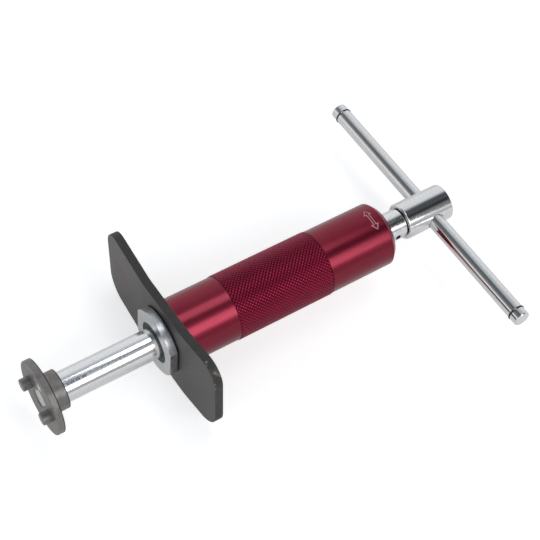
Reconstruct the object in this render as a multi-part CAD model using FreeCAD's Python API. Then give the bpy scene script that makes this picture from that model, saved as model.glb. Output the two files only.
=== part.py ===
import FreeCAD, Part
import math
import os

# Brake caliper piston tool, in millimetres. X runs along the tool towards the
# handle, Z is up. The origin is the centre of the pin circle, on the front face
# of the piston adaptor.

# Grip sleeve
SLEEVE_R = 17.0
SLEEVE_L = 123.4
SLEEVE_WALL = 4.0
SLEEVE_REAR_CHAMFER = 2.8
SLEEVE_FRONT_CHAMFER = 1.0
KNURL_RISE = 0.34
KNURL_START = 29.4
KNURL_L = 54.7
REAR_WALL = 15.0
REAR_LIP = 2.0

# Piston adaptor and its pins
DISC_R = 19.15
DISC_T = 3.6
HUB_R = 10.0
HUB_L = 7.5
EDGE = 0.35
PIN_R = 3.15
PIN_SHANK_R = 2.5
PIN_SEAT_R = 3.3
PIN_SEAT_DEPTH = 0.08
PIN_OUT = 4.4
PIN_PITCH_R = 10.1
PIN_TURN = 2.5

# Spindle and its nose
ROD_R = 7.75
ROD_OUT = 49.75
NOSE_STEP = 0.5
NOSE_RECESS = 0.7
NOSE_ROUND_L = 2.9
NOSE_FLAT_HALF = 4.4
NOSE_TURN = -55.0
SLIDE_FIT = 0.05
O_RING_R = 0.7

# Gland nut in the front of the sleeve
FLANGE_R = 17.5
FLANGE_T = 4.18
FLANGE_FLAT_HALF = 15.5
NECK_BORE_R = 10.8
NECK_IN = 14.0
NECK_LIP = 5.0
BUSH_RECESS = 0.4
WASHER_T = 0.5
RIM = 1.0

# Force plate, turning on the neck of the gland nut
PLATE_T = 4.5
PLATE_HALF_L = 52.0
PLATE_HALF_W = 23.4
PLATE_CORNER_R = 11.5
PLATE_OFFSET = 6.5
PLATE_FLAT_HALF = 18.2
PLATE_BEND = 4.0
PLATE_EDGE = 0.5
PLATE_TURN = -4.5
GAP = 0.3

# Return spring and thrust parts
BUFFER_T = 2.5
COLLAR_L = 8.0
COLLAR_SIDE_GAP = 0.4
CIRCLIP_T = 1.5
CIRCLIP_RISE = 2.25
THRUST_T = 2.0
SEAT_T = 2.0
SEAT_SPIGOT = 7.0
STOP_T = 2.0
WIRE_R = 0.9
SPRING_TURNS = 11.0

# Handle
SHAFT_OUT = 12.7
HEAD_R = 9.75
HEAD_L = 27.8
HEAD_CHAMFER = 0.9
HEAD_RECESS = 1.6
HEAD_RECESS_R = 8.6
SOCKET_DEPTH = 9.5
BAR_R = 4.45
BAR_HALF_L = 80.8
BAR_END_CHAMFER = 0.7
BAR_FROM_FRONT = 16.95
BAR_TURN = -1.8
BAR_FIT = 0.07
RING_FROM_END = 5.0
RING_W = 1.1
RING_DEPTH = 0.8
RING_PROUD = 0.35
LOCK_HOLE_R = 1.5
LOCK_HOLE_FROM_HEAD = 6.1
GRUB_R = 2.0
GRUB_FROM_FRONT = 5.2
GRUB_TURN = -62.0

# Stations along the axis, each from the one before it
HUB_END = DISC_T + HUB_L
FLANGE_X = HUB_END + ROD_OUT
FLANGE_END = FLANGE_X + FLANGE_T
WASHER_END = FLANGE_END + WASHER_T
PLATE_X = WASHER_END + GAP
PLATE_END = PLATE_X + PLATE_T
SLEEVE_X = PLATE_END + GAP
SLEEVE_END = SLEEVE_X + SLEEVE_L
NECK_END = SLEEVE_X + NECK_IN
BUFFER_END = NECK_END + BUFFER_T
COLLAR_X = BUFFER_END + GAP
COLLAR_END = COLLAR_X + COLLAR_L
CIRCLIP_X = COLLAR_X + COLLAR_SIDE_GAP
CIRCLIP_END = CIRCLIP_X + CIRCLIP_T
THRUST_END = COLLAR_END + THRUST_T
SEAT_X = THRUST_END + GAP
SEAT_END = SEAT_X + SEAT_T
WALL_X = SLEEVE_END - REAR_WALL
STOP_X = WALL_X - STOP_T
LIP_X = SLEEVE_END - REAR_LIP
HEAD_X = SLEEVE_END + SHAFT_OUT
HEAD_END = HEAD_X + HEAD_L
BAR_X = HEAD_X + BAR_FROM_FRONT
ROD_END = HEAD_X + SOCKET_DEPTH
LOCK_HOLE_X = HEAD_X - LOCK_HOLE_FROM_HEAD

# Radii tied together
BORE_R = SLEEVE_R - SLEEVE_WALL
NOSE_R = ROD_R - NOSE_STEP
GUIDE_R = ROD_R + SLIDE_FIT
BUSH_SEAT_R = GUIDE_R + 2.2
SPRING_R = (ROD_R + BORE_R) / 2
NECK_FIT_R = BORE_R + SLIDE_FIT

X = FreeCAD.Vector(1, 0, 0)
O = FreeCAD.Vector(0, 0, 0)


def turned(profile):
    """A solid of revolution about X from (x, radius) corners."""
    points = [FreeCAD.Vector(x, r, 0) for x, r in profile]
    points.append(points[0])
    face = Part.Face(Part.makePolygon(points))
    return face.revolve(O, X, 360)


def tube(x0, x1, inner, outer, edge=0.0):
    """A ring between two stations with its outer edges broken."""
    return turned([
        (x0, inner),
        (x0, outer - edge),
        (x0 + edge, outer),
        (x1 - edge, outer),
        (x1, outer - edge),
        (x1, inner),
    ] if edge else [(x0, inner), (x0, outer), (x1, outer), (x1, inner)])


def rod(x0, x1, radius):
    """A plain cylinder along X."""
    return Part.makeCylinder(radius, x1 - x0, FreeCAD.Vector(x0, 0, 0), X)


def polar(degrees, radius=1.0):
    """A vector across the tool, measured from +Y towards +Z."""
    a = math.radians(degrees)
    return FreeCAD.Vector(0, radius * math.cos(a), radius * math.sin(a))


def slab(x0, x1, half, reach):
    """A block that keeps what lies within a half width of the Y plane."""
    size = (x1 - x0, 2 * half, 2 * reach)
    return Part.makeBox(*size, FreeCAD.Vector(x0, -half, -reach))


def about_axis(shape, degrees):
    """Turn a shape about the tool's axis."""
    turned_shape = shape.copy()
    turned_shape.rotate(O, X, degrees)
    return turned_shape


def open_ring(x0, x1, inner, outer, gap_degrees):
    """A ring with a gap, as a snap ring has."""
    sweep = 360 - gap_degrees
    corners = [(x0, inner), (x1, inner), (x1, outer), (x0, outer), (x0, inner)]
    face = Part.Face(Part.makePolygon([FreeCAD.Vector(x, r, 0) for x, r in corners]))
    return face.revolve(O, X, sweep)


def make_sleeve():
    """Grip sleeve with its rear wall, raised knurl land and stepped bore."""
    knurl_x = SLEEVE_X + KNURL_START
    knurl_end = knurl_x + KNURL_L
    land = SLEEVE_R + KNURL_RISE
    return turned([
        (SLEEVE_X, BORE_R),
        (SLEEVE_X, SLEEVE_R - SLEEVE_FRONT_CHAMFER),
        (SLEEVE_X + SLEEVE_FRONT_CHAMFER, SLEEVE_R),
        (knurl_x, SLEEVE_R),
        (knurl_x + KNURL_RISE, land),
        (knurl_end - KNURL_RISE, land),
        (knurl_end, SLEEVE_R),
        (SLEEVE_END - SLEEVE_REAR_CHAMFER, SLEEVE_R),
        (SLEEVE_END, SLEEVE_R - SLEEVE_REAR_CHAMFER),
        (SLEEVE_END, GUIDE_R + GAP),
        (LIP_X, GUIDE_R + GAP),
        (LIP_X, BUSH_SEAT_R),
        (WALL_X, BUSH_SEAT_R),
        (WALL_X, BORE_R),
    ])


def make_gland():
    """Gland nut: flange with two flats, journal, threaded neck and inner lip."""
    body = turned([
        (FLANGE_X, NECK_BORE_R + EDGE),
        (FLANGE_X, FLANGE_R - EDGE),
        (FLANGE_X + EDGE, FLANGE_R),
        (FLANGE_END, FLANGE_R),
        (FLANGE_END, BORE_R),
        (SLEEVE_X, BORE_R),
        (SLEEVE_X + RIM, BORE_R - RIM),
        (SLEEVE_X + 2 * RIM, BORE_R),
        (NECK_END - RIM, BORE_R),
        (NECK_END, BORE_R - RIM),
        (NECK_END, GUIDE_R + GAP),
        (NECK_END - NECK_LIP, GUIDE_R + GAP),
        (NECK_END - NECK_LIP, NECK_BORE_R),
        (FLANGE_X + EDGE, NECK_BORE_R),
    ])
    keep = slab(FLANGE_X - 1, FLANGE_END, FLANGE_FLAT_HALF, FLANGE_R + 1)
    neck = rod(FLANGE_END, NECK_END + 1, BORE_R + 1)
    return body.common(keep.fuse(neck)).removeSplitter()


def make_front_bush():
    """Polymer guide bush pressed into the gland nut."""
    x0 = FLANGE_X + BUSH_RECESS
    x1 = NECK_END - NECK_LIP
    return turned([
        (x0 + EDGE, GUIDE_R),
        (x0, GUIDE_R + EDGE),
        (x0, NECK_BORE_R),
        (x1, NECK_BORE_R),
        (x1, GUIDE_R),
    ])


def make_plate():
    """Force plate with rounded corners and both wings bent back."""
    lift = math.tan(math.radians(PLATE_BEND))
    left = PLATE_OFFSET - PLATE_HALF_L - 1
    right = PLATE_OFFSET + PLATE_HALF_L + 1
    stations = [left, -PLATE_FLAT_HALF, PLATE_FLAT_HALF, right]
    rises = [lift * max(abs(y) - PLATE_FLAT_HALF, 0) for y in stations]
    front = [(PLATE_X + rise, y) for y, rise in zip(stations, rises)]
    rear = [(x + PLATE_T, y) for x, y in front]
    half = PLATE_HALF_W + 1
    corners = front + rear[::-1] + front[:1]
    section = Part.makePolygon([FreeCAD.Vector(x, y, -half) for x, y in corners])
    bent = Part.Face(section).extrude(FreeCAD.Vector(0, 0, 2 * half))
    reach = lift * (PLATE_HALF_L + PLATE_OFFSET) + PLATE_T
    blank = Part.makeBox(
        reach + 2,
        2 * PLATE_HALF_L,
        2 * PLATE_HALF_W,
        FreeCAD.Vector(PLATE_X - 1, PLATE_OFFSET - PLATE_HALF_L, -PLATE_HALF_W),
    )
    long_edges = [e for e in blank.Edges if abs(e.tangentAt(e.FirstParameter).x) > 0.9]
    blank = blank.makeFillet(PLATE_CORNER_R, long_edges)
    plate = bent.common(blank)
    rim = [e for e in plate.Edges if is_rim(e)]
    plate = plate.makeChamfer(PLATE_EDGE, rim)
    plate = plate.cut(rod(PLATE_X - 1, PLATE_END + 1, NECK_FIT_R))
    return about_axis(plate, PLATE_TURN)


def is_rim(edge):
    """True for an edge between a broad face and the plate's outline."""
    box = edge.BoundBox
    across = box.YLength > box.XLength or box.ZLength > box.XLength
    middle = edge.CenterOfMass
    inside_y = abs(middle.y - PLATE_OFFSET) < PLATE_HALF_L - PLATE_CORNER_R
    bend = inside_y and abs(middle.z) < PLATE_HALF_W / 2
    return across and not bend


def make_spindle():
    """Spindle rod: stepped nose with two flats, grooves and cross holes."""
    nose_x = NOSE_RECESS
    body = turned([
        (nose_x, 0),
        (nose_x, NOSE_R - EDGE),
        (nose_x + EDGE, NOSE_R),
        (HUB_END, NOSE_R),
        (HUB_END, ROD_R),
        (ROD_END - EDGE, ROD_R),
        (ROD_END, ROD_R - EDGE),
        (ROD_END, 0),
    ])
    flat_end = HUB_END - NOSE_ROUND_L
    for side in (1, -1):
        low = NOSE_FLAT_HALF if side > 0 else -NOSE_FLAT_HALF - NOSE_R
        corner = FreeCAD.Vector(nose_x - 1, -NOSE_R, low)
        waste = Part.makeBox(flat_end - nose_x + 1, 2 * NOSE_R, NOSE_R, corner)
        body = body.cut(about_axis(waste, NOSE_TURN))
    ring_mid = HUB_END - NOSE_ROUND_L / 2
    groove_r = NOSE_R - 2 * O_RING_R
    body = body.cut(tube(ring_mid - O_RING_R, ring_mid + O_RING_R, groove_r, NOSE_R + 1))
    inner = ROD_R - CIRCLIP_RISE / 3
    body = body.cut(tube(CIRCLIP_X, CIRCLIP_END, inner, ROD_R + 1))
    across = FreeCAD.Vector(LOCK_HOLE_X, -ROD_R - 1, 0)
    body = body.cut(Part.makeCylinder(LOCK_HOLE_R, 2 * ROD_R + 2, across, FreeCAD.Vector(0, 1, 0)))
    return body.cut(grub_blank(GRUB_R))


def make_o_ring():
    """Rubber ring that holds the adaptor on the nose."""
    mid = HUB_END - NOSE_ROUND_L / 2
    return Part.makeTorus(NOSE_R - O_RING_R, O_RING_R, FreeCAD.Vector(mid, 0, 0), X)


def make_adaptor():
    """Piston adaptor: disc and hub with a double flat bore."""
    bore = NOSE_R + SLIDE_FIT
    body = turned([
        (0, bore),
        (0, DISC_R - EDGE),
        (EDGE, DISC_R),
        (DISC_T - EDGE, DISC_R),
        (DISC_T, DISC_R - EDGE),
        (DISC_T, HUB_R),
        (HUB_END - EDGE, HUB_R),
        (HUB_END, HUB_R - EDGE),
        (HUB_END, bore),
    ])
    flat_end = HUB_END - NOSE_ROUND_L
    low = NOSE_FLAT_HALF + SLIDE_FIT
    for side in (1, -1):
        corner = FreeCAD.Vector(0, -bore, low if side > 0 else -low - NOSE_R)
        land = Part.makeBox(flat_end, 2 * bore, NOSE_R, corner)
        land = land.common(rod(0, HUB_END, bore + EDGE))
        body = body.fuse(about_axis(land, NOSE_TURN))
    body = body.removeSplitter()
    for turn in (PIN_TURN, PIN_TURN + 180):
        centre = polar(turn, PIN_PITCH_R) + FreeCAD.Vector(-1, 0, 0)
        body = body.cut(Part.makeCylinder(PIN_SHANK_R, DISC_T + 1, centre, X))
        body = body.cut(Part.makeCylinder(PIN_SEAT_R, 1 + PIN_SEAT_DEPTH, centre, X))
    return body


def make_pin(turn):
    """One drive pin, its shoulder seated in the disc and its shank pressed through."""
    pin = turned([
        (-PIN_OUT, 0),
        (-PIN_OUT, PIN_R - EDGE),
        (EDGE - PIN_OUT, PIN_R),
        (PIN_SEAT_DEPTH, PIN_R),
        (PIN_SEAT_DEPTH, PIN_SHANK_R),
        (DISC_T, PIN_SHANK_R),
        (DISC_T, 0),
    ])
    pin.translate(polar(turn, PIN_PITCH_R))
    return pin


def make_collar():
    """Thrust collar, hollowed in front for its circlip."""
    outer = BORE_R - 2 * GAP
    pocket = ROD_R + CIRCLIP_RISE + GAP
    return turned([
        (COLLAR_X, pocket),
        (COLLAR_X, outer - EDGE),
        (COLLAR_X + EDGE, outer),
        (COLLAR_END - EDGE, outer),
        (COLLAR_END, outer - EDGE),
        (COLLAR_END, ROD_R),
        (CIRCLIP_END, ROD_R),
        (CIRCLIP_END, pocket),
    ])


def make_seat():
    """Flanged seat that carries the spring and does not turn."""
    bore = ROD_R + GAP
    spigot = SPRING_R - WIRE_R - GAP
    return turned([
        (SEAT_X, bore),
        (SEAT_X, BORE_R - GAP),
        (SEAT_END, BORE_R - GAP),
        (SEAT_END, spigot),
        (SEAT_END + SEAT_SPIGOT - EDGE, spigot),
        (SEAT_END + SEAT_SPIGOT, spigot - EDGE),
        (SEAT_END + SEAT_SPIGOT, bore),
    ])


def make_spring():
    """Coil spring between the seat and the rear stop, with ground ends."""
    length = STOP_X - SEAT_END
    pitch = length / SPRING_TURNS
    path = Part.Wire(Part.makeHelix(pitch, length, SPRING_R).Edges)
    slope = FreeCAD.Vector(0, 2 * math.pi * SPRING_R, pitch)
    wire = Part.Circle(FreeCAD.Vector(SPRING_R, 0, 0), slope, WIRE_R).toShape()
    coil = path.makePipeShell([Part.Wire([wire])], True, True)
    coil = coil.common(Part.makeCylinder(SPRING_R + 2 * WIRE_R, length))
    coil.rotate(O, FreeCAD.Vector(0, 1, 0), 90)
    coil.translate(FreeCAD.Vector(SEAT_END, 0, 0))
    return coil


def make_head():
    """Handle head with its spindle socket, front recess and bar hole."""
    body = turned([
        (HEAD_X + HEAD_RECESS, ROD_R),
        (HEAD_X + HEAD_RECESS, HEAD_RECESS_R),
        (HEAD_X, HEAD_RECESS_R),
        (HEAD_X, HEAD_R - HEAD_CHAMFER),
        (HEAD_X + HEAD_CHAMFER, HEAD_R),
        (HEAD_END - HEAD_CHAMFER, HEAD_R),
        (HEAD_END, HEAD_R - HEAD_CHAMFER),
        (HEAD_END, 0),
        (ROD_END, 0),
        (ROD_END, ROD_R),
    ])
    hole_r = BAR_R + BAR_FIT
    along = polar(BAR_TURN)
    start = FreeCAD.Vector(BAR_X, 0, 0) - along * (HEAD_R + 1)
    body = body.cut(Part.makeCylinder(hole_r, 2 * HEAD_R + 2, start, along))
    return body.cut(grub_blank(GRUB_R))


def grub_blank(radius):
    """The space of the grub screw that locks the head to the rod."""
    out = polar(GRUB_TURN)
    start = FreeCAD.Vector(HEAD_X + GRUB_FROM_FRONT, 0, 0) + out * (ROD_R - 1)
    return Part.makeCylinder(radius, HEAD_R - ROD_R + 2, start, out)


def make_grub():
    """Grub screw with a hexagon socket, below the surface of the head."""
    out = polar(GRUB_TURN)
    base = FreeCAD.Vector(HEAD_X + GRUB_FROM_FRONT, 0, 0)
    length = HEAD_R - ROD_R + 1 - GAP
    body = Part.makeCylinder(GRUB_R, length, base + out * (ROD_R - 1), out)
    key = GRUB_R / 2
    side = X
    other = out.cross(side)
    centre = base + out * (ROD_R - 1 + length - 1.2)
    corners = []
    for i in range(7):
        a = math.radians(60 * i)
        corners.append(centre + side * (key * math.cos(a)) + other * (key * math.sin(a)))
    socket = Part.Face(Part.makePolygon(corners)).extrude(out * 2)
    return body.cut(socket)


def make_bar():
    """Tommy bar, built along X and then laid across the head."""
    ring_x = BAR_HALF_L - RING_FROM_END
    body = turned([
        (-BAR_HALF_L, 0),
        (-BAR_HALF_L, BAR_R - BAR_END_CHAMFER),
        (BAR_END_CHAMFER - BAR_HALF_L, BAR_R),
        (BAR_HALF_L - BAR_END_CHAMFER, BAR_R),
        (BAR_HALF_L, BAR_R - BAR_END_CHAMFER),
        (BAR_HALF_L, 0),
    ])
    for x in (-ring_x, ring_x):
        low, high = x - RING_W / 2, x + RING_W / 2
        body = body.cut(tube(low, high, BAR_R - RING_DEPTH, BAR_R + 1))
    return across_head(body)


def make_bar_rings():
    """Two snap rings that keep the bar in the head."""
    ring_x = BAR_HALF_L - RING_FROM_END
    rings = []
    for x in (-ring_x, ring_x):
        low, high = x - RING_W / 2, x + RING_W / 2
        rings.append(open_ring(low, high, BAR_R - RING_DEPTH, BAR_R + RING_PROUD, 30))
    return across_head(Part.makeCompound(rings))


def across_head(shape):
    """Lay a shape built along X into the bar's place, along Y and turned."""
    shape.rotate(O, FreeCAD.Vector(0, 0, 1), 90)
    shape.translate(FreeCAD.Vector(BAR_X, 0, 0))
    return about_axis(shape, BAR_TURN)


def make_parts():
    """Every piece of the tool by node name."""
    washer_r = FLANGE_R - RIM
    buffer_r = BORE_R - 2 * GAP
    circlip_in = ROD_R - CIRCLIP_RISE / 3
    return {
        "grip_sleeve": make_sleeve(),
        "gland_nut": make_gland(),
        "front_bush": make_front_bush(),
        "plate_washer": tube(FLANGE_END, WASHER_END, BORE_R, washer_r),
        "force_plate": make_plate(),
        "stop_buffer": tube(NECK_END, BUFFER_END, GUIDE_R + GAP, buffer_r, EDGE),
        "spindle_rod": make_spindle(),
        "nose_o_ring": make_o_ring(),
        "adaptor_body": make_adaptor(),
        "drive_pin_far": make_pin(PIN_TURN),
        "drive_pin_near": make_pin(PIN_TURN + 180),
        "thrust_collar": make_collar(),
        "collar_circlip": open_ring(CIRCLIP_X, CIRCLIP_END, circlip_in, ROD_R + CIRCLIP_RISE, 50),
        "thrust_washer": tube(COLLAR_END, THRUST_END, ROD_R, BORE_R - 2 * GAP, EDGE),
        "spring_seat": make_seat(),
        "return_spring": make_spring(),
        "spring_stop": tube(STOP_X, WALL_X, GUIDE_R + GAP, BORE_R - SLIDE_FIT),
        "rear_bush": tube(WALL_X + RIM, LIP_X, GUIDE_R, BUSH_SEAT_R),
        "handle_head": make_head(),
        "head_grub_screw": make_grub(),
        "tommy_bar": make_bar(),
        "bar_snap_rings": make_bar_rings(),
    }


def main():
    """Write one STEP file for each piece."""
    os.makedirs("parts", exist_ok=True)
    for name, shape in make_parts().items():
        if not shape.isValid():
            raise ValueError(name + " is not a valid shape")
        shape.exportStep(os.path.join("parts", name + ".step"))


main()
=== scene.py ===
"""Dressed model of a brake caliper piston tool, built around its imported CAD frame."""

import logging
import math
from collections.abc import Callable
from dataclasses import dataclass, replace
from enum import Enum

import bmesh
import bpy
from mathutils import Matrix, Vector


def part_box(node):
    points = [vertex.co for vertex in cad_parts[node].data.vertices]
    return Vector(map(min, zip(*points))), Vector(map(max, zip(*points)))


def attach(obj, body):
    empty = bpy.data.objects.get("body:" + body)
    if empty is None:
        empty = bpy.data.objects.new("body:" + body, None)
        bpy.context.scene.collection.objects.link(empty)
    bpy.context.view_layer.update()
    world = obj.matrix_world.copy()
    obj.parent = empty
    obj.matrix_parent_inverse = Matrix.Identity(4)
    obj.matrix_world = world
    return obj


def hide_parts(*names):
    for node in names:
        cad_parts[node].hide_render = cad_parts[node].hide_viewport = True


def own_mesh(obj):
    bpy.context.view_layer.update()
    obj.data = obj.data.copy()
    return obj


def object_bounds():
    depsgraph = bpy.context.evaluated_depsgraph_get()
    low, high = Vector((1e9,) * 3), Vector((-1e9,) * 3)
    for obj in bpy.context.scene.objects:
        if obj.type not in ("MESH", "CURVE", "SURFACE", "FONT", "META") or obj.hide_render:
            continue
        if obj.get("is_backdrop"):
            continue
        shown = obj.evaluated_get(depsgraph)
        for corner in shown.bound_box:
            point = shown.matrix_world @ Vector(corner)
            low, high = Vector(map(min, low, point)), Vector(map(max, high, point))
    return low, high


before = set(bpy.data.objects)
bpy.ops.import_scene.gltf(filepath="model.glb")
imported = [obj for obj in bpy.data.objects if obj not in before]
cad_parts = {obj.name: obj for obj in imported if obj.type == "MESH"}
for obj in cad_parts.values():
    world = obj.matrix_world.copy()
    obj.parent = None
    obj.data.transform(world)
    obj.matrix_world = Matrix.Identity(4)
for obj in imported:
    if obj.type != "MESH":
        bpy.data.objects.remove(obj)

# Sizes are in millimetres up to the moment a piece is dressed.
MM = 0.001
AXIS = Vector((1.0, 0.0, 0.0))
TURN_STEPS = 108
# How far a cutter reaches past what it cuts away.
PAST = 1.0
# How near a corner or a face has to be to a place to count as there.
NEAR = 0.1
TOUCHING = 0.01
# Corners this near each other are merged, and one this near a cutting plane is on it.
MERGED = 1e-4
# How much of a face's normal has to point one way for the face to count as facing it.
FACING = 0.98
# The range that a noise pattern mostly keeps to.
NOISE_SPAN = (0.3, 0.7)
# The level of the noise that specks would need if their share were nothing.
SPECK_LEVEL = 0.75
# The width over which a speck fades in, in the noise that places it.
SPECK_FADE = 0.06
# A spot's ragged edge, the end of its fade and its grain, as shares of its radius.
SPOT_RAGGED = 1.6
SPOT_FADE = 1.75
SPOT_GRAIN = 0.35
SPOT_LEAST_GRAIN_MM = 0.3
# The sockets of a node that mixes colours.
MIX_SHARE = 0
MIX_FIRST = 6
MIX_SECOND = 7
MIX_RESULT = 2
# The power of an area lamp for each square metre and unit of radiance.
LAMP_POWER = 4.0
WHITE = (1.0, 1.0, 1.0)
SIDEWAYS = Vector((0.0, 1.0, 0.0))
Profile = list[tuple[float, float]]
Colour = tuple[float, float, float]
Span = tuple[float, float]
Socket = bpy.types.NodeSocket
Feeds = dict[int | str, object]

log = logging.getLogger("piston_tool")


class Wiring:
    """The shader nodes of one finish or of the room, added one after another."""

    def __init__(self, tree: bpy.types.NodeTree) -> None:
        """Start from a node tree."""
        self.tree = tree

    def feed(self, node: bpy.types.Node, feeds: Feeds) -> None:
        """Feed a node's inputs.

        Args:
            node: The node.
            feeds: For each input its plain value, or the socket that is linked to it.
        """
        for key, value in feeds.items():
            if isinstance(value, Socket):
                self.tree.links.new(value, node.inputs[key])
            else:
                node.inputs[key].default_value = value

    def add(self, kind: str, feeds: Feeds, **settings: str) -> bpy.types.Node:
        """Add a node.

        Args:
            kind: The node's type, without the words that all of them start with.
            feeds: What its inputs get.
            **settings: The node's own settings, made before its inputs are fed.

        Returns:
            The new node.
        """
        node = self.tree.nodes.new(f"ShaderNode{kind}")
        for name, value in settings.items():
            setattr(node, name, value)
        self.feed(node, feeds)
        return node

    def noise(self, place: Socket, size_mm: float, detail: float = 4.0) -> Socket:
        """Add a noise pattern.

        Args:
            place: The socket with the coordinates.
            size_mm: The size of one cell of the pattern.
            detail: How many finer layers are added.

        Returns:
            The socket with the pattern's value.
        """
        feeds = {"Vector": place, "Scale": 1.0 / (size_mm * MM), "Detail": detail}
        return self.add("TexNoise", feeds).outputs["Fac"]

    def spread(
        self, value: Socket, source: Span, target: Span = (0.0, 1.0), **settings: str
    ) -> Socket:
        """Spread one range of a value over another.

        Args:
            value: The socket with the value.
            source: The range that is spread.
            target: The range that it is spread over.
            **settings: The node's own settings.

        Returns:
            The socket with the result.
        """
        keys = ("Value", "From Min", "From Max", "To Min", "To Max")
        feeds = dict(zip(keys, (value, *source, *target)))
        return self.add("MapRange", feeds, **settings).outputs["Result"]

    def mixed(self, share: Socket, first: Socket | Colour, second: Colour) -> Socket:
        """Mix two colours.

        Args:
            share: The socket with the share of the second colour.
            first: The first colour, or the socket with it.
            second: The second colour.

        Returns:
            The socket with the mixed colour.
        """
        start = first if isinstance(first, Socket) else (*first, 1.0)
        feeds = {MIX_SHARE: share, MIX_FIRST: start, MIX_SECOND: (*second, 1.0)}
        return self.add("Mix", feeds, data_type="RGBA").outputs[MIX_RESULT]


class Grain(Enum):
    """The way in which the fine marks of a finish run, as stretches along X, Y and Z."""

    EVEN = (1.0, 1.0, 1.0)
    RINGS = (1.0, 0.03, 0.03)
    LENGTHWISE = (0.04, 1.0, 1.0)
    ACROSS = (1.0, 0.04, 1.0)
    DRAWN = (0.2, 1.0, 1.0)


@dataclass(frozen=True)
class Spot:
    """A spot with a ragged edge, in millimetres from the frame's origin: wear and rust, and also
    painted shade and highlights.
    """

    centre: tuple[float, float, float]
    radius: float
    colour: Colour
    share: float = 1.0

    def shown(self, wiring: Wiring, place: Socket) -> Socket:
        """Fade the spot out from its centre with an uneven edge.

        Args:
            wiring: The nodes of the finish.
            place: The socket with the object coordinates.

        Returns:
            The socket with the spot's share.
        """
        radius = self.radius * MM
        centre = Vector(self.centre) * MM
        away = wiring.add("VectorMath", {0: place, 1: centre}, operation="DISTANCE")
        grain = wiring.noise(place, max(self.radius * SPOT_GRAIN, SPOT_LEAST_GRAIN_MM))
        feeds = {0: grain, 1: radius * SPOT_RAGGED, 2: away.outputs["Value"]}
        edge = wiring.add("Math", feeds, operation="MULTIPLY_ADD").outputs[0]
        return wiring.spread(edge, (radius * SPOT_FADE, radius), (0.0, self.share))


@dataclass(frozen=True)
class Finish:
    """One surface finish and the fine detail that it shows.

    Sizes of marks are in millimetres. Patches shift the colour towards the deep
    colour, marks are the fine relief, and specks are small spots of a third colour.
    """

    name: str
    colour: Colour
    deep: Colour
    slot: str
    metallic: float = 1.0
    roughness: float = 0.3
    roughness_spread: float = 0.05
    coat: float = 0.0
    coat_roughness: float = 0.2
    patch_mm: float = 6.0
    grain: Grain = Grain.EVEN
    mark_mm: float = 0.5
    mark_depth_mm: float = 0.01
    speck: Colour | None = None
    speck_mm: float = 2.0
    speck_share: float = 0.06
    spots: tuple[Spot, ...] = ()

    def material(self) -> bpy.types.Material:
        """Give the material of this finish, made once.

        Returns:
            The Blender material with its procedural nodes.
        """
        title = f"{self.name}_surface"
        known = bpy.data.materials.get(title)
        if known:
            return known
        made = bpy.data.materials.new(title)
        made.use_nodes = True
        wiring = Wiring(made.node_tree)
        place = wiring.add("TexCoord", {}).outputs["Object"]
        grain = wiring.add("Mapping", {"Vector": place, "Scale": self.grain.value})
        marks = wiring.noise(grain.outputs["Vector"], self.mark_mm)
        bump = wiring.add("Bump", {"Height": marks, "Distance": self.mark_depth_mm * MM})
        smoothest = self.roughness - self.roughness_spread
        roughest = self.roughness + self.roughness_spread
        feeds = {
            "Base Color": self.tint(wiring, place),
            "Metallic": self.metallic,
            "Roughness": wiring.spread(marks, NOISE_SPAN, (smoothest, roughest)),
            "Normal": bump.outputs["Normal"],
            "Coat Weight": self.coat,
            "Coat Roughness": self.coat_roughness,
        }
        wiring.feed(made.node_tree.nodes["Principled BSDF"], feeds)
        return made

    def tint(self, wiring: Wiring, place: Socket) -> Socket:
        """Mix the patches, the specks and the spots into one colour.

        Args:
            wiring: The nodes of the finish.
            place: The socket with the object coordinates.

        Returns:
            The socket with the colour.
        """
        patches = wiring.spread(wiring.noise(place, self.patch_mm, detail=3.0), NOISE_SPAN)
        tint = wiring.mixed(patches, self.colour, self.deep)
        layers: list[tuple[Socket, Colour]] = []
        if self.speck:
            # A smaller share puts the edge higher in the noise, which leaves fewer specks.
            edge = SPECK_LEVEL - self.speck_share
            specks = wiring.noise(place, self.speck_mm)
            layers.append((wiring.spread(specks, (edge, edge + SPECK_FADE)), self.speck))
        layers += [(spot.shown(wiring, place), spot.colour) for spot in self.spots]
        for share, colour in layers:
            tint = wiring.mixed(share, tint, colour)
        return tint


RED_ANODISED = Finish(
    "red_anodised",
    colour=(0.235, 0.0135, 0.0345),
    deep=(0.218, 0.0125, 0.0318),
    slot="red_anodised",
    roughness=0.3,
    roughness_spread=0.02,
    coat=0.36,
    mark_mm=0.4,
    mark_depth_mm=0.001,
    patch_mm=9.0,
)
# A much darker copy of the red for the knurl's groove floors: painted shade in the grooves.
KNURL_GROOVE_SHADE = replace(
    RED_ANODISED,
    name="shaded_knurl_groove",
    colour=(0.050, 0.004, 0.009),
    deep=(0.042, 0.003, 0.008),
    roughness=0.45,
    coat=0.0,
)
KNURL_TOP = replace(
    RED_ANODISED,
    name="knurl_top",
    colour=(0.33, 0.0140, 0.052),
    deep=(0.30, 0.0130, 0.048),
    roughness=0.26,
    coat=0.15,
)
MARKED = Finish(
    "laser_marked",
    colour=(0.62, 0.38, 0.43),
    deep=(0.52, 0.28, 0.33),
    slot="red_anodised",
    metallic=0.2,
    roughness=0.6,
    mark_mm=0.1,
    patch_mm=0.5,
)
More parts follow.
